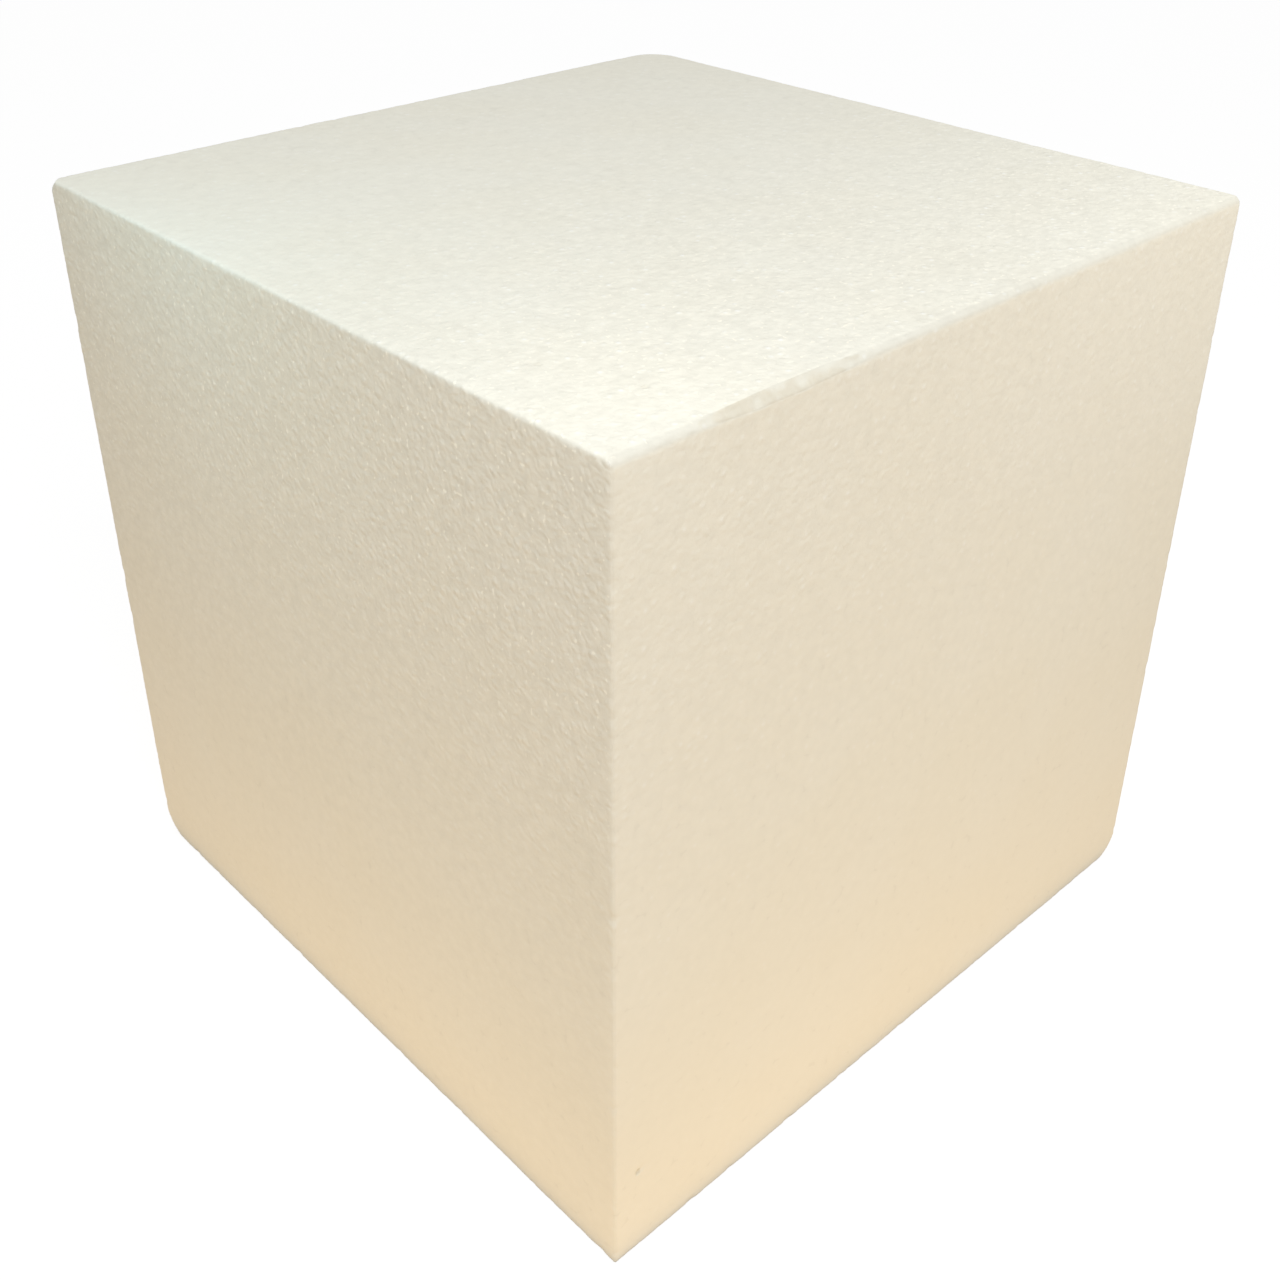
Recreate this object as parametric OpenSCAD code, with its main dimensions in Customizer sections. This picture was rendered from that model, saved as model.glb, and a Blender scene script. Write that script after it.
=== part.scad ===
// Foam block: one solid cube of expanded polystyrene bead foam, cut to size with a hot wire.
// The origin is the middle of the base, +Z is up, and the front face looks along -Y.
// All sizes are in millimetres.

/* [Block] */
// Width of the block from left to right
block_w = 200; // [100:5:400]
// Depth of the block from front to back
block_d = 200; // [100:5:400]
// Height of the block
block_h = 200; // [100:5:400]

/* [Edges] */
// Rounding of the crisp upright edge between the front and left faces
near_edge_r = 0.8; // [0.4:0.1:3]
// Rounding of the other three upright edges
upright_edge_r = 0.8; // [0.5:0.1:4]
// Rounding of the top front edge, which handling has worn softer than the rest
top_front_edge_r = 1.8; // [0.5:0.1:4]
// Rounding of the other three edges round the top
top_edge_r = 0.8; // [0.5:0.1:4]
// Rounding of the four edges round the base
base_edge_r = 0.8; // [0.5:0.1:4]

/* [Worn corners] */
// Reach of the wear along each edge at the front left corner of the top
wear_top_front_left = 2.5; // [2:0.5:20]
// Reach of the wear along each edge at the front right corner of the top
wear_top_front_right = 3; // [2:0.5:20]
// Reach of the wear along each edge at the back left corner of the top
wear_top_back_left = 5; // [2:0.5:20]
// Reach of the wear along each edge at the back right corner of the top
wear_top_back_right = 11.5; // [2:0.5:20]
// Reach of the wear along each edge at the front right corner of the base
wear_base_front_right = 9.5; // [2:0.5:20]
// Reach of the wear along each edge at the back left corner of the base
wear_base_back_left = 11; // [2:0.5:20]
// Reach of the wear along each edge at the back right corner of the base
wear_base_back_right = 6; // [2:0.5:20]

/* [Rubbed edge] */
// Length of the flattened stretch on the top front edge
rub_length = 66; // [30:1:90]
// Width of the flat on the top and on the front, at the middle of the stretch
rub_width = 2; // [1.5:0.1:4]
// Distance of the middle of the stretch from the left face
rub_from_left = 42; // [20:1:50]

/* [Missing beads] */
// Diameter of one foam bead
bead_d = 2.5; // [1.5:0.1:4]
// Depth of the pit that a lost bead leaves
pit_depth = 0.35; // [0.1:0.05:0.7]
// Distance of the pit on the front from the left face
front_pit_from_left = 7; // [5:0.5:90]
// Height of the pit on the front above the base
front_pit_up = 25; // [5:0.5:90]
// Distance of the outer pit on the top from the left face
outer_pit_from_left = 16; // [5:0.5:90]
// Distance of the outer pit on the top from the front face
outer_pit_from_front = 37; // [20:0.5:90]
// Distance of the inner pit on the top from the left face
inner_pit_from_left = 23.5; // [5:0.5:90]
// Distance of the inner pit on the top from the front face
inner_pit_from_front = 17; // [5:0.5:90]

/* [Hidden] */
$fn = 96;
// How far a cutting tool stands outside the block, so that it leaves no skin
clear = 1;
// The faces, seen from the front
left = -block_w / 2;
right = block_w / 2;
front = -block_d / 2;
back = block_d / 2;
// Depth of the rub at its middle, square to the flat
rub_depth = rub_width / sqrt(2);
// Radius of the long shallow arc that runs out at both ends of the rub
rub_r = ((rub_length / 2) ^ 2 + rub_depth ^ 2) / (2 * rub_depth);
// Length of the tool that cuts the rub, more than the flat is wide
rub_tool = 6 * rub_width;

// What a rounded edge loses: the square at a corner of an outline, less the circle in it.
module edge_waste(r) {
    difference() {
        translate([-clear, -clear]) square(r + clear);
        translate([r, r]) circle(r);
    }
}

// A rectangle on the middle of its lower side, with its own radius at each corner.
module eased_outline(width, height, low_left, low_right, high_right, high_left) {
    difference() {
        translate([-width / 2, 0]) square([width, height]);
        translate([-width / 2, 0]) edge_waste(low_left);
        translate([width / 2, 0]) mirror([1, 0]) edge_waste(low_right);
        translate([width / 2, height]) rotate(180) edge_waste(high_right);
        translate([-width / 2, height]) mirror([0, 1]) edge_waste(high_left);
    }
}

// The plan of the block, which rounds the upright edges.
module plan_prism() {
    translate([0, front, 0])
        linear_extrude(block_h)
            eased_outline(block_w, block_d, near_edge_r, upright_edge_r, upright_edge_r, upright_edge_r);
}

// The front view, which rounds the edges that run from front to back.
module front_prism() {
    translate([0, back, 0])
        rotate([90, 0, 0])
            linear_extrude(block_d)
                eased_outline(block_w, block_h, base_edge_r, base_edge_r, top_edge_r, top_edge_r);
}

// The side view, which rounds the edges that run from left to right.
module side_prism() {
    translate([left, 0, 0])
        rotate([90, 0, 90])
            linear_extrude(block_w)
                eased_outline(block_d, block_h, base_edge_r, base_edge_r, top_edge_r, top_front_edge_r);
}

// The block as it was cut and handled, before the corners wore.
module cut_block() {
    intersection() {
        plan_prism();
        front_prism();
        side_prism();
    }
}

// What a worn corner at the origin loses, for a block that lies towards +X, +Y and +Z.
// The ball touches each of the three edges at the reach, so the wear runs out smoothly.
module corner_waste(reach) {
    difference() {
        translate([-clear, -clear, -clear]) cube(reach + clear);
        translate([reach, reach, reach]) sphere(reach * sqrt(2));
    }
}

// Mirrors and moves a corner tool to a corner of the block: each side is -1 or 1.
module at_corner(side_x, side_y, side_z) {
    translate([side_x * block_w / 2, side_y * block_d / 2, side_z > 0 ? block_h : 0])
        mirror([side_x > 0 ? 1 : 0, 0, 0])
            mirror([0, side_y > 0 ? 1 : 0, 0])
                mirror([0, 0, side_z > 0 ? 1 : 0])
                    children();
}

// The seven corners that were knocked. The eighth, low at the front left, is still sharp.
module worn_corners() {
    at_corner(-1, -1, 1) corner_waste(wear_top_front_left);
    at_corner(1, -1, 1) corner_waste(wear_top_front_right);
    at_corner(-1, 1, 1) corner_waste(wear_top_back_left);
    at_corner(1, 1, 1) corner_waste(wear_top_back_right);
    at_corner(1, -1, -1) corner_waste(wear_base_front_right);
    at_corner(-1, 1, -1) corner_waste(wear_base_back_left);
    at_corner(1, 1, -1) corner_waste(wear_base_back_right);
}

// The flat that rubbing left on the top front edge, cut by a wide drum that dips into the edge.
module rubbed_edge() {
    translate([left + rub_from_left, front, block_h])
        rotate([45, 0, 0])
            translate([0, 0, rub_r - rub_depth])
                rotate([90, 0, 0])
                    cylinder(h = rub_tool, r = rub_r, center = true, $fn = 240);
}

// The ball that a lost bead leaves empty, for a pit that opens towards +Z.
module bead_pit() {
    translate([0, 0, bead_d / 2 - pit_depth]) sphere(d = bead_d, $fn = 32);
}

// The lost beads that show: one low on the front, two on the top.
module lost_beads() {
    translate([left + front_pit_from_left, front, front_pit_up]) rotate([90, 0, 0]) bead_pit();
    translate([left + outer_pit_from_left, front + outer_pit_from_front, block_h]) bead_pit();
    translate([left + inner_pit_from_left, front + inner_pit_from_front, block_h]) bead_pit();
}

// The whole block.
module foam_block() {
    color("ivory")
        difference() {
            cut_block();
            worn_corners();
            rubbed_edge();
            lost_beads();
        }
}

foam_block();
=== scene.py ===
"""A cube of bead foam, cut with a hot wire and worn by handling, on a pale studio floor."""
import logging
import math
from dataclasses import dataclass, field
from enum import Enum
from typing import Union

import bmesh
import bpy
from mathutils import Matrix, Vector, noise


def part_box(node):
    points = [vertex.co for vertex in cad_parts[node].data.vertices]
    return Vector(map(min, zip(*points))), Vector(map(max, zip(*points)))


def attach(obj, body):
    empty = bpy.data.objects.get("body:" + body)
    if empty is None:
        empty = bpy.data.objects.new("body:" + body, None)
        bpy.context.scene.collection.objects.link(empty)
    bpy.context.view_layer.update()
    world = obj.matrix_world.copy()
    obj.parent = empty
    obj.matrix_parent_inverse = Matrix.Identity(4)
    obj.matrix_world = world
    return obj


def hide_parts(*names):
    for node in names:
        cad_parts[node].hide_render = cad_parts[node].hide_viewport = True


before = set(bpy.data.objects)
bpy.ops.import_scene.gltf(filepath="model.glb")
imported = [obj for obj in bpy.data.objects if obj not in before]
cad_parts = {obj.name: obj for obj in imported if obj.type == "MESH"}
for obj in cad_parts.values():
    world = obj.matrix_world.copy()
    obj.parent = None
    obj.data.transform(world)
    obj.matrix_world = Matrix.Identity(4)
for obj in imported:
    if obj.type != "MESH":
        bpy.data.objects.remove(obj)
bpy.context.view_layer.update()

LOG = logging.getLogger("foam_block")
MM = 0.001

NUMBER = "NodeSocketFloat"
VECTOR = "NodeSocketVector"

Socket = bpy.types.NodeSocket
Colour = tuple[float, float, float, float]
Place = tuple[float, float, float]
Number = Union[Socket, float]


class Side(Enum):
    """A side of the block: the axis that it faces along, and which way."""

    LEFT = (0, -1)
    RIGHT = (0, 1)
    FRONT = (1, -1)
    BACK = (1, 1)
    BASE = (2, -1)
    TOP = (2, 1)

    @property
    def axis(self) -> int:
        """Number of the axis that the side faces along."""
        return self.value[0]

    @property
    def way(self) -> int:
        """-1 where the side faces down its axis, 1 where it faces up."""
        return self.value[1]


@dataclass(frozen=True)
class Edge:
    """An edge of the block and how round it is.

    The roundness wanders by the share in wander, once over each stretch of about wander_length.
    """

    first: Side
    second: Side
    radius: float
    wander: float = 0.25
    wander_length: float = 22 * MM


@dataclass(frozen=True)
class Corner:
    """A knocked corner, with the reach of its wear along each edge."""

    sides: tuple[Side, Side, Side]
    reach: float


@dataclass(frozen=True)
class Pit:
    """The pit that a lost bead leaves: its side, its middle, how dark its painted shade is, and its
    size.
    """

    side: Side
    middle: Place
    darkness: float
    depth: float
    width: float = 1.7 * MM


@dataclass(frozen=True)
class Rub:
    """The stretch of the top front edge that rubbing has flattened.

    The flat stands higher or lower by up to wander, once over each wander_length.
    """

    length: float = 66 * MM
    width: float = 2.0 * MM
    from_left: float = 42 * MM
    wander: float = 0.35 * MM
    wander_length: float = 5 * MM

    @property
    def depth(self) -> float:
        """Depth of the flat at its middle, square to it."""
        return self.width / math.sqrt(2)

    @property
    def radius(self) -> float:
        """Radius of the long arc that runs out at both ends."""
        return ((self.length / 2) ** 2 + self.depth**2) / (2 * self.depth)


@dataclass(frozen=True)
class Ruffle:
    """How single beads stand back along the edges, within reach of them.

    The seams between beads are sunk, each bead lies at its own depth, and where the number drawn
    for a bead is over chip_from, a chip is missing. The spread only sets the beads' draws apart.
    """

    bead: float = 2.5 * MM
    reach: float = 2.4 * MM
    seam_depth: float = 0.05 * MM
    seam_width: float = 0.35
    bead_depth: float = 0.07 * MM
    chip_depth: float = 0.15 * MM
    chip_from: float = 0.93
    spread: float = 7.3


@dataclass(frozen=True)
class Drift:
    """How far inside the true faces the slow wander of the hot wire left the surface.

    The depth is the share in middle, give or take a long wave and a finer one laid over it.
    """

    depth: float = 0.12 * MM
    length: float = 55 * MM
    middle: float = 0.5
    wave: float = 0.35
    fine_wave: float = 0.15
    fine_times: float = 2.7
    fine_from: Place = (5.0, 1.0, 3.0)


def smooth_step(low: float, high: float, value: float) -> float:
    """Rise from 0 at low to 1 at high, level at both ends.

    Args:
        low: Value at which the rise starts.
        high: Value at which it ends.
        value: Value to place between them.

    Returns:
        The height of the rise, from 0 to 1.
    """
    share = min(max((value - low) / (high - low), 0.0), 1.0)
    return share * share * (3 - 2 * share)


@dataclass
class FoamBlock:
    """The block itself, as one closed mesh with the eased edges, wear and pits of the real one.

    The mesh has a given number of cells along each edge. The cells along the edges and at the
    worn corners are divided by edge_cuts, and those round the pits by pit_cuts. Only what lies
    within edge_zone of an edge is rounded. The wander of the wire fades out within base_zone of
    the base.
    """

    low: Vector
    high: Vector
    edge_radius: float = 0.8 * MM
    worn_edge_radius: float = 1.8 * MM
    near_edge_wander: float = 0.15
    cells: int = 80
    edge_cuts: int = 4
    pit_cuts: int = 6
    edge_zone: float = 4 * MM
    base_zone: float = 2 * MM
    rub: Rub = field(default_factory=Rub)
    ruffle: Ruffle = field(default_factory=Ruffle)
    drift: Drift = field(default_factory=Drift)

    def edges(self) -> list[Edge]:
        """List the twelve edges. Handling wore the top front one softer than the other eleven.

        Returns:
            The edges, in the order in which they are rounded.
        """
        radius = self.edge_radius
        walls = (Side.LEFT, Side.RIGHT, Side.FRONT, Side.BACK)
        worn = {Side.FRONT: self.worn_edge_radius}
        return [
            Edge(Side.LEFT, Side.FRONT, radius, self.near_edge_wander),
            Edge(Side.RIGHT, Side.FRONT, radius),
            Edge(Side.LEFT, Side.BACK, radius),
            Edge(Side.RIGHT, Side.BACK, radius),
            *(Edge(wall, Side.TOP, worn.get(wall, radius)) for wall in walls),
            *(Edge(wall, Side.BASE, radius) for wall in walls),
        ]

    def corners(self) -> list[Corner]:
        """List the seven knocked corners. The one low at the front left is still sharp.

        Returns:
            The corners, in the order in which they are worn.
        """
        return [
            Corner((Side.FRONT, Side.LEFT, Side.TOP), 2.5 * MM),
            Corner((Side.FRONT, Side.RIGHT, Side.TOP), 3.0 * MM),
            Corner((Side.BACK, Side.LEFT, Side.TOP), 5.0 * MM),
            Corner((Side.BACK, Side.RIGHT, Side.TOP), 11.5 * MM),
            Corner((Side.FRONT, Side.RIGHT, Side.BASE), 9.5 * MM),
            Corner((Side.BACK, Side.LEFT, Side.BASE), 11.0 * MM),
            Corner((Side.BACK, Side.RIGHT, Side.BASE), 6.0 * MM),
        ]

    def pits(self) -> list[Pit]:
        """List the lost beads that show: one low on the front, two faint ones on the top.

        Returns:
            The pits that they leave.
        """
        left, front = self.low.x, self.low.y
        top = self.high.z
        return [
            Pit(Side.FRONT, (left + 7 * MM, front, 25 * MM), darkness=0.4, depth=0.3 * MM),
            Pit(Side.TOP, (left + 16 * MM, front + 37 * MM, top), darkness=0.1, depth=0.24 * MM),
            Pit(Side.TOP, (left + 23.5 * MM, front + 17 * MM, top), darkness=0.1, depth=0.24 * MM),
        ]

    def depth(self, point: Vector, side: Side) -> float:
        """How far a point lies inside a side."""
        face = self.low if side.way < 0 else self.high
        return (face[side.axis] - point[side.axis]) * side.way

    def set_depth(self, point: Vector, side: Side, depth: float) -> None:
        """Move a point square to a side, until it lies at a depth inside it."""
        face = self.low if side.way < 0 else self.high
        point[side.axis] = face[side.axis] - depth * side.way

    def edge_depth(self, point: Vector) -> float:
        """How far a point lies from the nearest edge: its depth inside the second nearest side."""
        return sorted(self.depth(point, side) for side in Side)[1]

    def board(self) -> bmesh.types.BMesh:
        """Cut the plain cube and divide it into cells about one bead wide.

        Returns:
            The cube at its full size and in its place.
        """
        bm = bmesh.new()
        bmesh.ops.create_cube(bm, size=1.0)
        bmesh.ops.scale(bm, vec=self.high - self.low, verts=bm.verts)
        bmesh.ops.translate(bm, vec=(self.low + self.high) / 2, verts=bm.verts)
        bmesh.ops.subdivide_edges(bm, edges=bm.edges[:], cuts=self.cells - 1, use_grid_fill=True)
        return bm

    def is_near_pit(self, point: Vector) -> bool:
        """Whether a point lies within a pit's width of the middle of a pit."""
        return any((point - Vector(pit.middle)).length < pit.width for pit in self.pits())

    def is_near_edge(self, point: Vector) -> bool:
        """Tell whether a point lies within a cell of an edge, or in the wear of a corner.

        Args:
            point: A point of the plain cube.

        Returns:
            True where the mesh has to be finer.
        """
        if self.edge_depth(point) < self.cell:
            return True
        return any(
            all(self.depth(point, side) < corner.reach for side in corner.sides)
            for corner in self.corners()
        )

    @property
    def cell(self) -> float:
        """Width of a cell of the undivided mesh."""
        return (self.high.x - self.low.x) / self.cells

    def refine(self, bm: bmesh.types.BMesh) -> None:
        """Divide the whole cells round pits, along the edges and at worn corners more finely.

        Args:
            bm: The cube, divided into cells about one bead wide.
        """
        for is_chosen, cuts in (
            (self.is_near_pit, self.pit_cuts),
            (self.is_near_edge, self.edge_cuts),
        ):
            faces = [face for face in bm.faces if face.calc_area() > self.cell**2 / 2]
            faces = [face for face in faces if is_chosen(face.calc_center_median())]
            edges = list({edge for face in faces for edge in face.edges})
            bmesh.ops.subdivide_edges(bm, edges=edges, cuts=cuts, use_grid_fill=True)

    def ease(self, point: Vector, edge: Edge) -> None:
        """Draw a point that lies beyond the round of an edge back onto that round.

        Args:
            point: The point to move, which lies on the plain cube.
            edge: The edge to round.
        """
        along = noise.noise(point / edge.wander_length)
        radius = edge.radius * (1 + edge.wander * along)
        first = radius - self.depth(point, edge.first)
        second = radius - self.depth(point, edge.second)
        if first <= 0 or second <= 0:
            return
        share = radius / math.hypot(first, second)
        if share < 1:
            self.set_depth(point, edge.first, radius - first * share)
            self.set_depth(point, edge.second, radius - second * share)

    def wear(self, point: Vector, corner: Corner) -> None:
        """Draw a point beyond a knocked corner back onto the ball that touches its three edges.

        Args:
            point: The point to move.
            corner: The corner and its reach.
        """
        inward = [corner.reach - self.depth(point, side) for side in corner.sides]
        if min(inward) <= 0:
            return
        share = corner.reach * math.sqrt(2) / math.hypot(*inward)
        if share < 1:
            for side, amount in zip(corner.sides, inward):
                self.set_depth(point, side, corner.reach - amount * share)

    def flatten(self, point: Vector) -> None:
        """Press a point of the top front edge down to the flat that rubbing left.

        Args:
            point: The point to move.
        """
        along = point.x - (self.low.x + self.rub.from_left)
        if abs(along) > self.rub.length / 2:
            return
        inside = (self.depth(point, Side.FRONT) + self.depth(point, Side.TOP)) / math.sqrt(2)
        wanted = self.rub.depth - along**2 / (2 * self.rub.radius)
        uneven = self.rub.wander * noise.noise(point / self.rub.wander_length)
        wanted += uneven * max(0.0, wanted) / self.rub.depth
        if inside < wanted:
            step = (wanted - inside) / math.sqrt(2)
            point.y += step
            point.z -= step

    def sink(self, point: Vector, pit: Pit) -> None:
        """Sink a point into a pit, which has the form of half a flattened ball.

        Args:
            point: The point to move.
            pit: The pit.
        """
        radius = pit.width / 2
        away = (point - Vector(pit.middle)).length / radius
        if away < 1:
            point[pit.side.axis] -= pit.side.way * pit.depth * math.sqrt(1 - away**2)

    def ruffle_depth(self, point: Vector) -> float:
        """How far beads along an edge stand back: their seams, their own depths, and chips.

        Args:
            point: A point of the surface.

        Returns:
            The depth, which fades to nothing away from the edges.
        """
        ruffle = self.ruffle
        fade = 1 - smooth_step(0, ruffle.reach, self.edge_depth(point))
        if fade <= 0:
            return 0.0
        distances, beads = noise.voronoi(point / ruffle.bead)
        seam = 1 - smooth_step(0, ruffle.seam_width, distances[1] - distances[0])
        chance = noise.cell(beads[0] * ruffle.spread) * 0.5 + 0.5
        depth = ruffle.seam_depth * seam + ruffle.bead_depth * chance
        if chance > ruffle.chip_from:
            depth += ruffle.chip_depth * (1 - seam)
        return fade * depth

    def drift_depth(self, point: Vector) -> float:
        """How far the slow wander of the hot wire left a point inside the true face.

        Args:
            point: A point of the surface.

        Returns:
            The depth.
        """
        drift = self.drift
        wave = noise.noise(point / drift.length)
        fine = noise.noise(point * drift.fine_times / drift.length + Vector(drift.fine_from))
        return drift.depth * (drift.middle + drift.wave * wave + drift.fine_wave * fine)

    def shape(self, bm: bmesh.types.BMesh) -> None:
        """Round the edges, wear the corners and flatten the rubbed stretch.

        Args:
            bm: The plain cube, finely divided.
        """
        edges = self.edges()
        corners = self.corners()
        for vert in bm.verts:
            if self.edge_depth(vert.co) < self.edge_zone:
                for edge in edges:
                    self.ease(vert.co, edge)
            for corner in corners:
                self.wear(vert.co, corner)
            self.flatten(vert.co)

    def roughen(self, bm: bmesh.types.BMesh) -> None:
        """Set the surface back along its normals, bead by bead, and sink the pits.

        Args:
            bm: The shaped block. The wire's wander fades out towards its flat base.
        """
        bm.normal_update()
        places = [vert.co.copy() for vert in bm.verts]
        for vert, place in zip(bm.verts, places):
            off_base = smooth_step(0, self.base_zone, self.depth(place, Side.BASE))
            depth = self.ruffle_depth(place) + self.drift_depth(place) * off_base
            vert.co = place - vert.normal * depth
            for pit in self.pits():
                self.sink(vert.co, pit)

    def mesh(self) -> bpy.types.Mesh:
        """Shape the block.

        Returns:
            The finished mesh, closed and smooth.
        """
        bm = self.board()
        self.refine(bm)
        self.shape(bm)
        self.roughen(bm)
        bmesh.ops.recalc_face_normals(bm, faces=bm.faces)
        for face in bm.faces:
            face.smooth = True
        mesh = bpy.data.meshes.new("bead_foam_block")
        bm.to_mesh(mesh)
        bm.free()
        return mesh

    def build(self, material: bpy.types.Material) -> bpy.types.Object:
        """Make the block, dress it, and set it in the place of the plain solid.

        Args:
            material: The finish of the foam.

        Returns:
            The finished piece.
        """
        piece = bpy.data.objects.new("bead_foam_block", self.mesh())
        piece.data.materials.append(material)
        bpy.context.scene.collection.objects.link(piece)
        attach(piece, "root")
        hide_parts("foam_block")
        return piece


class Wiring:
    """Adds nodes to a node tree and joins them."""

    def __init__(self, tree: bpy.types.NodeTree) -> None:
        """Take the tree to wire."""
        self.tree = tree

    def node(self, kind: str, **settings: object) -> bpy.types.Node:
        """Add a node.

        Args:
            kind: The node's type.
            settings: Values for its own properties.

        Returns:
            The new node.
        """
        made = self.tree.nodes.new(kind)
        for name, value in settings.items():
            setattr(made, name, value)
        return made

    def feed(self, socket: Socket, value: Union[Socket, float, tuple]) -> None:
        """Join a socket to another, or set it to a plain value.

        Args:
            socket: The input to feed.
            value: The socket or the value to feed it.
        """
        if isinstance(value, Socket):
            self.tree.links.new(value, socket)
        else:
            socket.default_value = value

    def maths(self, operation: str, first: Number, second: Number = 0.0) -> Socket:
        """Work out one number from two.

        Args:
            operation: What to do, such as DIVIDE.
            first: A socket or a number.
            second: A socket or a number.

        Returns:
            The result's socket.
        """
        made = self.node("ShaderNodeMath", operation=operation)
        self.feed(made.inputs[0], first)
        self.feed(made.inputs[1], second)
        return made.outputs[0]

    def times(self, *factors: Number) -> Socket:
        """Multiply numbers.

        Args:
            factors: Two or more numbers, each a socket or plain.

        Returns:
            The product's socket.
        """
        product = factors[0]
        for factor in factors[1:]:
            product = self.maths("MULTIPLY", product, factor)
        return product

    def plus(self, *terms: Number) -> Socket:
        """Add numbers up.

        Args:
            terms: Two or more numbers, each a socket or plain.

        Returns:
            The total's socket.
        """
        total = terms[0]
        for term in terms[1:]:
            total = self.maths("ADD", total, term)
        return total

    def minus(self, first: Number, second: Number) -> Socket:
        """Take a number from another, each a socket or plain."""
        return self.maths("SUBTRACT", first, second)

    def vectors(
        self, operation: str, first: Union[Socket, Place], second: Union[Socket, Place, None] = None
    ) -> Socket:
        """Work out one vector from one or two.

        Args:
            operation: What to do, such as SUBTRACT.
            first: A socket or a vector.
            second: A socket or a vector, where the operation takes two.

        Returns:
            The result's socket.
        """
        made = self.node("ShaderNodeVectorMath", operation=operation)
        self.feed(made.inputs[0], first)
        if second is not None:
            self.feed(made.inputs[1], second)
        return made.outputs["Vector"]

    def distance(self, first: Socket, second: Place) -> Socket:
        """Measure how far places lie from one given place.

        Args:
            first: The socket of the places.
            second: The given place.

        Returns:
            The distance's socket.
        """
        made = self.node("ShaderNodeVectorMath", operation="DISTANCE")
        self.feed(made.inputs[0], first)
        self.feed(made.inputs[1], second)
        return made.outputs["Value"]

    def split(self, vector: Socket) -> bpy.types.NodeOutputs:
        """Take a vector apart.

        Args:
            vector: The vector's socket.

        Returns:
            The sockets of its parts, named X, Y and Z.
        """
        made = self.node("ShaderNodeSeparateXYZ")
        self.feed(made.inputs[0], vector)
        return made.outputs

    def rise(
        self, value: Number, low: float, high: float, first: float = 0.0, last: float = 1.0
    ) -> Socket:
        """Map a number from one range to another, level at both ends.

        Args:
            value: A socket or a number.
            low: Where the change starts.
            high: Where it ends.
            first: The result at the start.
            last: The result at the end.

        Returns:
            The result's socket.
        """
        made = self.node("ShaderNodeMapRange", interpolation_type="SMOOTHSTEP")
        for socket, number in zip(made.inputs, (value, low, high, first, last)):
            self.feed(socket, number)
        return made.outputs["Result"]

    def grain(self, place: Socket, width: float, detail: float = 0.0) -> Socket:
        """Add a noise pattern.

        Args:
            place: The socket of the places.
            width: Distance between the broadest features.
            detail: How many times finer features are laid over them.

        Returns:
            The pattern's socket.
        """
        made = self.node("ShaderNodeTexNoise")
        self.feed(made.inputs["Vector"], place)
        self.feed(made.inputs["Scale"], 1 / width)
        self.feed(made.inputs["Detail"], detail)
        return made.outputs["Fac"]

    def tint(self, share: Number, first: Union[Socket, Colour], second: Colour) -> Socket:
        """Mix a share of a second colour into a first one.

        Args:
            share: How much of the second, as a socket or a number.
            first: A socket or a colour.
            second: The second colour.

        Returns:
            The mixed colour's socket.
        """
        return self.blend("MIX", share, first, second)

    def paint_shade(self, share: Number, colour: Socket, shade_colour: Colour) -> Socket:
        """Multiply a colour by a share of a painted shade's colour.

        Args:
            share: How strong the painted shade is, as a socket or a number.
            colour: The socket of the clean colour.
            shade_colour: The painted shade's colour on pure white.

        Returns:
            The stained colour's socket.
        """
        return self.blend("MULTIPLY", share, colour, shade_colour)

    def darken(self, colour: Socket, loss: Socket) -> Socket:
        """Take a share of the light from a colour.

        Args:
            colour: The socket of the colour.
            loss: The socket of the share to take away.

        Returns:
            The darker colour's socket.
        """
        left = self.minus(1.0, loss)
        grey = self.node("ShaderNodeCombineColor")
        for socket in grey.inputs:
            self.feed(socket, left)
        return self.blend("MULTIPLY", 1.0, colour, grey.outputs[0])

    def blend(
        self, way: str, share: Number, first: Union[Socket, Colour], second: Union[Socket, Colour]
    ) -> Socket:
        """Blend two colours.

        Args:
            way: How they blend, such as MIX.
            share: How much the second counts, as a socket or a number.
            first: A socket or a colour.
            second: A socket or a colour.

        Returns:
            The blended colour's socket.
        """
        made = self.node("ShaderNodeMix", data_type="RGBA", blend_type=way)
        colour_inputs = [socket for socket in made.inputs if socket.type == "RGBA"]
        self.feed(made.inputs["Factor"], share)
        self.feed(colour_inputs[0], first)
        self.feed(colour_inputs[1], second)
        return next(socket for socket in made.outputs if socket.type == "RGBA")


def new_group(
    name: str, inputs: dict[str, str], outputs: dict[str, str]
) -> tuple[bpy.types.NodeTree, Wiring, bpy.types.NodeOutputs, bpy.types.NodeInputs]:
    """Start a shader node group.

    Args:
        name: The group's name.
        inputs: The type of each input, by its name.
        outputs: The type of each output, by its name.

    Returns:
        The group, its wiring, its input sockets and its output sockets, both by name.
    """
    tree = bpy.data.node_groups.new(name, "ShaderNodeTree")
    for way, sockets in (("INPUT", inputs), ("OUTPUT", outputs)):
        for socket, kind in sockets.items():
            tree.interface.new_socket(name=socket, in_out=way, socket_type=kind)
    wiring = Wiring(tree)
    given = wiring.node("NodeGroupInput").outputs
    result = wiring.node("NodeGroupOutput").inputs
    return tree, wiring, given, result


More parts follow.
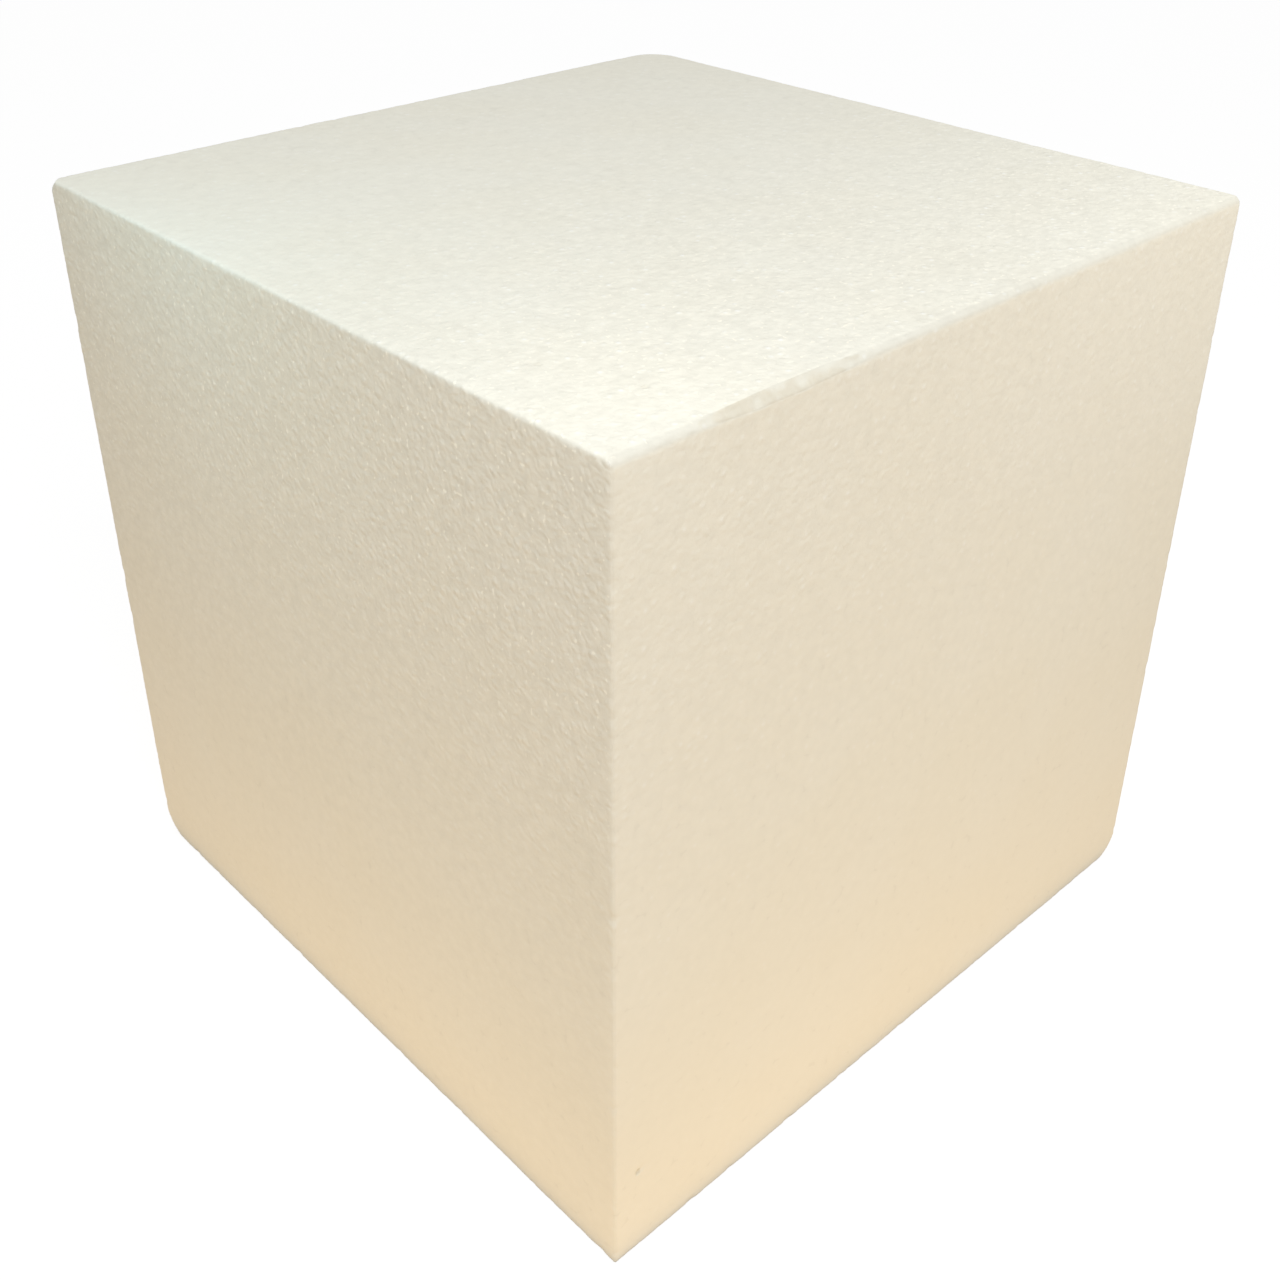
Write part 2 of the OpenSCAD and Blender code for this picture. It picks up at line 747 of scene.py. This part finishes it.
@dataclass(frozen=True)
class FusedBeads:
    """The cut through a mass of fused beads: soft domes, a few glints, and gaps where many meet.

    Each pair of inner and outer, or start and end, is a distance from a bead's middle, in beads.
    """

    dome_inner: float = 0.05
    dome_outer: float = 0.66
    least_dome: float = 0.45
    faintest_glint: float = 0.35
    glint_reach: float = 0.36
    glint_height: float = 0.3
    seam_start: float = 0.3
    seam_end: float = 0.8
    gap_start: float = 0.8
    gap_end: float = 0.95

    def group(self) -> bpy.types.NodeTree:
        """Build the group.

        Returns:
            A group that takes places and a bead's width. It gives the height of the surface, a
            shade for each bead, and masks of the glints, the seams and the gaps.
        """
        outputs = dict.fromkeys(("Height", "Shade", "Glint", "Seam", "Gap"), NUMBER)
        inputs = {"Place": VECTOR, "Bead Width": NUMBER}
        tree, wiring, given, result = new_group("Fused beads", inputs, outputs)
        beads = wiring.node("ShaderNodeTexVoronoi", feature="F1")
        wiring.feed(beads.inputs["Vector"], given["Place"])
        wiring.feed(beads.inputs["Scale"], wiring.maths("DIVIDE", 1.0, given["Bead Width"]))
        draws = wiring.node("ShaderNodeSeparateColor")
        wiring.feed(draws.inputs[0], beads.outputs["Color"])
        away = beads.outputs["Distance"]
        tall = wiring.rise(draws.outputs["Blue"], 0.0, 1.0, self.least_dome, 1.0)
        dome = wiring.rise(away, self.dome_inner, self.dome_outer, 1.0, 0.0)
        chance = wiring.rise(draws.outputs["Red"], self.faintest_glint, 1.0)
        spot = wiring.rise(away, 0.0, self.glint_reach, 1.0, 0.0)
        glint = wiring.times(chance, spot)
        peak = wiring.times(glint, self.glint_height)
        wiring.feed(result["Height"], wiring.plus(wiring.times(dome, tall), peak))
        wiring.feed(result["Shade"], draws.outputs["Green"])
        wiring.feed(result["Glint"], glint)
        wiring.feed(result["Seam"], wiring.rise(away, self.seam_start, self.seam_end))
        wiring.feed(result["Gap"], wiring.rise(away, self.gap_start, self.gap_end))
        return tree


@dataclass(frozen=True)
class EdgeRounds:
    """Where the surface turns from one face to the next, by how its normal leans both ways."""

    start: float = 0.02
    full: float = 0.45

    def group(self) -> bpy.types.NodeTree:
        """Build the group.

        Returns:
            A group that takes the smooth normal. It gives 1 on the rounds of the edges that run
            from left to right, and on those of the uprights, and 0 on the flats.
        """
        outputs = {"Across": NUMBER, "Upright": NUMBER}
        tree, wiring, given, result = new_group("Edge rounds", {"Normal": VECTOR}, outputs)
        lean = wiring.split(wiring.vectors("ABSOLUTE", given["Normal"]))
        for name, other in (("Across", "Z"), ("Upright", "X")):
            turned = wiring.times(lean["Y"], lean[other])
            wiring.feed(result[name], wiring.rise(turned, self.start, self.full))
        return tree


@dataclass(frozen=True)
class WearMarks:
    """Where painted shade lies: on the flat that rubbing left, and in the pits of lost beads.

    The painted shade of the flat fades out between two depths under it, and that of a pit between
    two shares of the pit's width.
    """

    block: FoamBlock
    fade_start: float = 0.04 * MM
    fade_end: float = 0.22 * MM
    pit_inner: float = 0.3
    pit_outer: float = 0.6

    def group(self) -> bpy.types.NodeTree:
        """Build the group.

        Returns:
            A group that takes places and gives a mask of the rubbed flat and one of the pits.
        """
        outputs = {"Rub": NUMBER, "Pit": NUMBER}
        tree, wiring, given, result = new_group("Wear marks", {"Place": VECTOR}, outputs)
        wiring.feed(result["Rub"], self.rub(wiring, given["Place"]))
        pit_shades = 0.0
        for pit in self.block.pits():
            away = wiring.distance(given["Place"], pit.middle)
            inner, outer = self.pit_inner * pit.width, self.pit_outer * pit.width
            mask = wiring.rise(away, inner, outer, pit.darkness, 0.0)
            pit_shades = wiring.maths("MAXIMUM", pit_shades, mask)
        wiring.feed(result["Pit"], pit_shades)
        return tree

    def rub(self, wiring: Wiring, place: Socket) -> Socket:
        """Mask the flat: 1 on it, fading to 0 under it and where its depth runs out.

        Args:
            wiring: The group's wiring.
            place: The socket of the places.

        Returns:
            The mask's socket.
        """
        rub, block = self.block.rub, self.block
        parts = wiring.split(place)
        along = wiring.minus(parts["X"], block.low.x + rub.from_left)
        sag = wiring.times(along, along, 1 / (2 * rub.radius))
        depth = wiring.minus(rub.depth, sag)
        both = wiring.plus(wiring.minus(parts["Y"], parts["Z"]), block.high.z - block.low.y)
        inside = wiring.times(both, 1 / math.sqrt(2))
        under = wiring.minus(inside, depth)
        mask = wiring.rise(under, self.fade_start, self.fade_end, 1.0, 0.0)
        return wiring.times(mask, wiring.rise(depth, 0.0, self.fade_end))


@dataclass(frozen=True)
class CutDepth:
    """How deep the grain lies: less on the front and back faces, at the foot, and far back on top.

    Each share is what is left of the full depth, and each zone says over what stretch of the
    block it takes hold. The turn is how far a normal leans to the front or back.
    """

    front_share: float = 0.55
    front_turn: tuple[float, float] = (0.2, 0.8)
    foot_share: float = 0.28
    foot_zone: tuple[float, float] = (20 * MM, 190 * MM)
    back_share: float = 0.5
    back_zone: tuple[float, float] = (-90 * MM, 70 * MM)

    def group(self) -> bpy.types.NodeTree:
        """Build the group.

        Returns:
            A group that takes places and the smooth normal, and gives the depth, from 0 to 1.
            Towards the back, only what faces up is smoother.
        """
        inputs = {"Place": VECTOR, "Normal": VECTOR}
        tree, wiring, given, result = new_group("Cut depth", inputs, {"Depth": NUMBER})
        place = wiring.split(given["Place"])
        normal = wiring.split(given["Normal"])
        lean = wiring.maths("ABSOLUTE", normal["Y"])
        by_side = wiring.rise(lean, *self.front_turn, 1.0, self.front_share)
        by_height = wiring.rise(place["Z"], *self.foot_zone, self.foot_share, 1.0)
        to_back = wiring.rise(place["Y"], *self.back_zone)
        change = wiring.times(normal["Z"], self.back_share - 1.0, to_back)
        by_place = wiring.plus(1.0, change)
        wiring.feed(result["Depth"], wiring.times(by_side, by_height, by_place))
        return tree


@dataclass(frozen=True)
class BeadFoam:
    """The finish of hot-wire-cut bead foam: matt and cream-white, with tiny bright sparks.

    A width is that of a pattern's features, a share is how strong something is, and a range is
    the part of a noise pattern over which something comes in. An edge shade is painted shade on the
    rounds of the edges, standing in for the light that leaks out where the foam is thin. The detail
    is how many finer layers of features the patterns of the warm areas, clouds and ripples have.
    """

    base: Colour = (0.94, 0.92, 0.81, 1.0)
    warm: Colour = (0.935, 0.907, 0.784, 1.0)
    warm_width: float = 28 * MM
    warm_range: tuple[float, float] = (0.3, 0.7)
    warm_share: float = 0.6
    detail: float = 1.0
    bead_width: float = 2.3 * MM
    bead_share: float = 0.03
    seam_shade: float = 0.02
    cloud_width: float = 2.8 * MM
    cloud_range: tuple[float, float] = (0.25, 0.75)
    cloud_share: float = 0.055
    gap: Colour = (0.76, 0.735, 0.64, 1.0)
    gap_shade: float = 0.2
    glint: Colour = (1.0, 1.0, 0.94, 1.0)
    spark: Colour = (1.0, 0.97, 0.85, 1.0)
    spark_width: float = 1.1 * MM
    spark_range: tuple[float, float] = (0.72, 0.79)
    spark_depths: tuple[float, float] = (0.55, 1.0)
    spark_share: float = 0.22
    across_edge_shade: float = 0.15
    upright_edge_shade: float = 0.06
    shade_colour: Colour = (0.905, 0.866, 0.812, 1.0)
    shade_range: tuple[float, float] = (0.3, 0.7)
    least_shade: float = 0.75
    pit_shade: Colour = (0.62, 0.58, 0.5, 1.0)
    relief: float = 0.105 * MM
    ripple_width: float = 1.3 * MM
    grit_width: float = 1.0 * MM
    grit_share: float = 0.9
    roughness: float = 0.75
    glint_roughness: float = 0.35
    refraction: float = 1.45

    def material(self, block: FoamBlock) -> bpy.types.Material:
        """Build the material.

        Args:
            block: The block that it dresses, for the places of its wear.

        Returns:
            The material, on the block's own object coordinates.
        """
        material = bpy.data.materials.new("Bead foam, hot-wire cut")
        material.use_nodes = True
        material.node_tree.nodes.clear()
        wiring = Wiring(material.node_tree)
        shader = wiring.node("ShaderNodeBsdfPrincipled")
        coordinates = wiring.node("ShaderNodeTexCoord").outputs
        place, normal = coordinates["Object"], coordinates["Normal"]
        cut = self.use(wiring, CutDepth().group(), Place=place, Normal=normal)["Depth"]
        width = self.bead_width
        beads = self.use(wiring, FusedBeads().group(), **{"Place": place, "Bead Width": width})
        rounds = self.use(wiring, EdgeRounds().group(), Normal=normal)
        marks = self.use(wiring, WearMarks(block).group(), Place=place)
        glint = wiring.times(beads["Glint"], cut)
        ripple = wiring.grain(place, self.ripple_width, self.detail)
        sparks = wiring.rise(wiring.grain(place, self.spark_width), *self.spark_range)
        sparks = wiring.times(sparks, wiring.rise(cut, *self.spark_depths))

        colour = self.foam_colour(wiring, place, beads, cut)
        # Painted highlight: the glints whiten the base colour; their lower roughness is real gloss.
        colour = wiring.tint(glint, colour, self.glint)
        # Painted highlight: the sparks tint the base colour almost white; their share of metal
        # reflects for real.
        colour = wiring.tint(sparks, colour, self.spark)
        # Painted shade: the rounds of the edges are darkened, for the light that leaks out of the
        # thin foam there.
        across = wiring.times(rounds["Across"], self.across_edge_shade)
        upright = wiring.times(rounds["Upright"], self.upright_edge_shade)
        colour = wiring.darken(colour, wiring.plus(across, upright))
        # Painted shade darkens the rubbed flat, in patches that follow the ripple.
        patches = wiring.rise(ripple, *self.shade_range, self.least_shade, 1.0)
        colour = wiring.paint_shade(wiring.times(marks["Rub"], patches), colour, self.shade_colour)
        # Painted shade in the pits of lost beads, darkest in the one on the front.
        colour = wiring.paint_shade(marks["Pit"], colour, self.pit_shade)
        wiring.feed(shader.inputs["Base Color"], colour)

        wiring.feed(shader.inputs["Metallic"], wiring.times(sparks, self.spark_share))
        gloss = wiring.times(glint, self.roughness - self.glint_roughness)
        wiring.feed(shader.inputs["Roughness"], wiring.minus(self.roughness, gloss))
        grit = wiring.times(wiring.grain(place, self.grit_width), self.grit_share)
        bump = wiring.node("ShaderNodeBump")
        wiring.feed(bump.inputs["Strength"], cut)
        wiring.feed(bump.inputs["Distance"], self.relief)
        wiring.feed(bump.inputs["Height"], wiring.plus(beads["Height"], ripple, grit))
        wiring.feed(shader.inputs["Normal"], bump.outputs["Normal"])
        shader.inputs["IOR"].default_value = self.refraction
        output = wiring.node("ShaderNodeOutputMaterial")
        wiring.feed(output.inputs["Surface"], shader.outputs["BSDF"])
        return material

    def use(
        self, wiring: Wiring, group: bpy.types.NodeTree, **inputs: Union[Socket, float]
    ) -> bpy.types.NodeOutputs:
        """Place a group in the material.

        Args:
            wiring: The material's wiring.
            group: The group to place.
            inputs: What to feed to each of its inputs, by name.

        Returns:
            The group's outputs.
        """
        made = wiring.node("ShaderNodeGroup", node_tree=group)
        for name, value in inputs.items():
            wiring.feed(made.inputs[name], value)
        return made.outputs

    def foam_colour(
        self, wiring: Wiring, place: Socket, beads: bpy.types.NodeOutputs, cut: Socket
    ) -> Socket:
        """Colour the clean foam: cream, a little uneven from bead to bead, darker in the gaps.

        Args:
            wiring: The material's wiring.
            place: The socket of the places.
            beads: The outputs of the group of fused beads.
            cut: The socket of how deep the grain lies.

        Returns:
            The colour's socket.
        """
        mottle = wiring.grain(place, self.warm_width, self.detail)
        mottle = wiring.rise(mottle, *self.warm_range, 0.0, self.warm_share)
        colour = wiring.tint(mottle, self.base, self.warm)
        cloud = wiring.grain(place, self.cloud_width, self.detail)
        cloud = wiring.rise(cloud, *self.cloud_range, 0.0, self.cloud_share)
        shade = wiring.times(beads["Shade"], self.bead_share)
        # Painted shade: the seams between beads are a little darker, as hollows that light reaches
        # less.
        seam = wiring.times(beads["Seam"], self.seam_shade)
        colour = wiring.darken(colour, wiring.times(wiring.plus(shade, cloud, seam), cut))
        # Painted shade: the gaps where beads meet are tinted dark, with no hole in the surface.
        return wiring.tint(wiring.times(beads["Gap"], self.gap_shade), colour, self.gap)


@dataclass(frozen=True)
class Lamp:
    """A soft square lamp: its bearing, its height above the level, and how far off it hangs.

    The bearing runs anticlockwise from the right, as seen from above, so 270 is straight in front.
    """

    name: str
    bearing: float
    rise: float
    distance: float
    width: float
    power: float
    colour: tuple[float, float, float] = (1.0, 1.0, 1.0)
    aim: Place = (0.0, 0.0, 0.1)

    def place(self) -> Vector:
        """Work out where the lamp hangs.

        Returns:
            Its place.
        """
        bearing, rise = math.radians(self.bearing), math.radians(self.rise)
        level = math.cos(rise)
        way = Vector((math.cos(bearing) * level, math.sin(bearing) * level, math.sin(rise)))
        return Vector(self.aim) + way * self.distance

    def build(self) -> bpy.types.Object:
        """Hang the lamp.

        Returns:
            The lamp.
        """
        light = bpy.data.lights.new(self.name, "AREA")
        light.shape = "SQUARE"
        light.size = self.width
        light.energy = self.power
        light.color = self.colour
        lamp = bpy.data.objects.new(self.name, light)
        lamp.location = self.place()
        away = self.place() - Vector(self.aim)
        lamp.rotation_euler = away.to_track_quat("Z", "Y").to_euler()
        lamp.visible_camera = False
        bpy.context.scene.collection.objects.link(lamp)
        return lamp


@dataclass
class Studio:
    """The pale floor, the lamps and the sky round them.

    The floor is white to the camera. To the block it glows warmly, as a lit table top does: most
    of all at the block's near foot, and less with the distance, out to warm_reach. Right at the
    foot, within contact of it, the glow falls to contact_level.
    """

    floor_width: float = 12.0
    floor_white: Colour = (0.30, 0.30, 0.30, 1.0)
    floor_glow: float = 0.80
    floor_warm: Colour = (1.0, 0.652, 0.271, 1.0)
    warm_level: float = 0.992
    warm_reach: float = 1.3
    near_reach: float = 0.5
    near_fall: float = 0.35
    foot: float = 0.1
    contact: float = 0.006
    contact_level: float = 0.2
    sky: Colour = (1.0, 1.0, 1.0, 1.0)
    sky_level: float = 0.60
    sky_shown: Colour = (0.8, 0.8, 0.8, 1.0)

    def lamps(self) -> list[Lamp]:
        """List the lamps.

        Returns:
            The main lamp, and after it the small ones.
        """
        return [
            Lamp("Main lamp", bearing=240, rise=40, distance=0.9, width=0.45, power=2.298),
            Lamp("Left lamp", bearing=210, rise=30, distance=0.5, width=0.2, power=0.161),
            Lamp("Side lamp", bearing=300, rise=40, distance=0.35, width=0.12, power=0.13),
            Lamp("Small lamp", bearing=225, rise=50, distance=0.22, width=0.05, power=0.011),
            Lamp(
                "Cool lamp",
                bearing=165,
                rise=40,
                distance=0.22,
                width=0.05,
                power=0.0132,
                colour=(0.394, 0.848, 1.0),
            ),
        ]

    def warm_glow(self, wiring: Wiring) -> Socket:
        """How strongly the floor glows at each place.

        Args:
            wiring: The floor material's wiring.

        Returns:
            The strength's socket.
        """
        place = wiring.node("ShaderNodeTexCoord").outputs["Object"]
        size = wiring.vectors("ABSOLUTE", place)
        out = wiring.vectors("SUBTRACT", size, (self.foot, self.foot, 0.0))
        out = wiring.vectors("MAXIMUM", out, (0.0, 0.0, 0.0))
        gap = wiring.distance(out, (0.0, 0.0, 0.0))
        far = wiring.rise(gap, 0.0, self.warm_reach, self.warm_level, 0.0)
        away = wiring.distance(place, (-self.foot, -self.foot, 0.0))
        near = wiring.rise(away, 0.0, self.near_reach, 1.0, self.near_fall)
        contact = wiring.rise(gap, 0.0, self.contact, self.contact_level, 1.0)
        return wiring.times(far, near, contact)

    def is_seen(self, wiring: Wiring) -> Socket:
        """Mask what the camera sees, whether plainly, in a mirror or through glass.

        Args:
            wiring: The wiring of the material or of the sky.

        Returns:
            The mask's socket: 1 for what is seen, 0 for the light that falls on the block.
        """
        path = wiring.node("ShaderNodeLightPath").outputs
        seen = wiring.maths("MAXIMUM", path["Is Camera Ray"], path["Is Glossy Ray"])
        return wiring.maths("MAXIMUM", seen, path["Is Transmission Ray"])

    def floor_material(self) -> bpy.types.Material:
        """Show the camera white with the block's shadow on it, and glow warmly on all else.

        Returns:
            The floor's material.
        """
        material = bpy.data.materials.new("Pale floor")
        material.use_nodes = True
        material.node_tree.nodes.clear()
        wiring = Wiring(material.node_tree)
        white = wiring.node("ShaderNodeBsdfDiffuse")
        wiring.feed(white.inputs["Color"], self.floor_white)
        glow = wiring.node("ShaderNodeEmission")
        wiring.feed(glow.inputs["Strength"], self.floor_glow)
        shown = wiring.node("ShaderNodeAddShader")
        wiring.feed(shown.inputs[0], white.outputs[0])
        wiring.feed(shown.inputs[1], glow.outputs[0])
        warm = wiring.node("ShaderNodeEmission")
        wiring.feed(warm.inputs["Color"], self.floor_warm)
        wiring.feed(warm.inputs["Strength"], self.warm_glow(wiring))
        mixed = wiring.node("ShaderNodeMixShader")
        wiring.feed(mixed.inputs[0], self.is_seen(wiring))
        wiring.feed(mixed.inputs[1], warm.outputs[0])
        wiring.feed(mixed.inputs[2], shown.outputs[0])
        output = wiring.node("ShaderNodeOutputMaterial")
        wiring.feed(output.inputs["Surface"], mixed.outputs[0])
        material.cycles.emission_sampling = "NONE"
        return material

    def build_floor(self) -> bpy.types.Object:
        """Lay the floor under the block.

        Returns:
            The floor.
        """
        bm = bmesh.new()
        bmesh.ops.create_grid(bm, x_segments=1, y_segments=1, size=self.floor_width / 2)
        mesh = bpy.data.meshes.new("floor")
        bm.to_mesh(mesh)
        bm.free()
        floor = bpy.data.objects.new("floor", mesh)
        floor.data.materials.append(self.floor_material())
        bpy.context.scene.collection.objects.link(floor)
        return floor

    def build_sky(self) -> bpy.types.World:
        """Light the block from all round, and show the camera a pale grey.

        Returns:
            The world that holds the sky.
        """
        world = bpy.data.worlds.new("Sky")
        world.use_nodes = True
        world.node_tree.nodes.clear()
        wiring = Wiring(world.node_tree)
        lit = wiring.node("ShaderNodeBackground")
        wiring.feed(lit.inputs["Color"], self.sky)
        wiring.feed(lit.inputs["Strength"], self.sky_level)
        shown = wiring.node("ShaderNodeBackground")
        wiring.feed(shown.inputs["Color"], self.sky_shown)
        mixed = wiring.node("ShaderNodeMixShader")
        wiring.feed(mixed.inputs[0], self.is_seen(wiring))
        wiring.feed(mixed.inputs[1], lit.outputs[0])
        wiring.feed(mixed.inputs[2], shown.outputs[0])
        output = wiring.node("ShaderNodeOutputWorld")
        wiring.feed(output.inputs["Surface"], mixed.outputs[0])
        bpy.context.scene.world = world
        return world

    def build(self) -> None:
        """Lay the floor, hang the lamps and light the sky."""
        self.build_floor()
        self.build_sky()
        for lamp in self.lamps():
            lamp.build()


@dataclass(frozen=True)
class Camera:
    """The camera, off the block's near upright edge and a hand's breadth above its top."""

    place: Place = (-0.24587, -0.26169, 0.31241)
    aim: Place = (0.00035, -0.00033, 0.1082)
    roll_degrees: float = 0.291
    lens: float = 43.696
    sensor: float = 36.0
    shift_up: float = -0.09036
    nearest: float = 0.01

    def build(self) -> bpy.types.Object:
        """Set the camera up and make it the scene's own.

        Returns:
            The camera.
        """
        data = bpy.data.cameras.new("Camera")
        data.lens = self.lens
        data.sensor_width = self.sensor
        data.shift_y = self.shift_up
        data.clip_start = self.nearest
        camera = bpy.data.objects.new("Camera", data)
        away = Vector(self.place) - Vector(self.aim)
        turn = away.to_track_quat("Z", "Y").to_matrix()
        roll = Matrix.Rotation(math.radians(self.roll_degrees), 3, "Z")
        camera.matrix_world = Matrix.Translation(self.place) @ (turn @ roll).to_4x4()
        bpy.context.scene.collection.objects.link(camera)
        bpy.context.scene.camera = camera
        return camera


def main() -> None:
    """Build the camera, the studio and the block."""
    logging.basicConfig(level=logging.INFO, format="%(message)s")
    bpy.context.scene.view_settings.view_transform = "Standard"
    Camera().build()
    Studio().build()
    low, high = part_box("foam_block")
    block = FoamBlock(Vector(low), Vector(high))
    piece = block.build(BeadFoam().material(block))
    LOG.info("%s: %d faces", piece.name, len(piece.data.polygons))


if __name__ == "__main__":
    main()
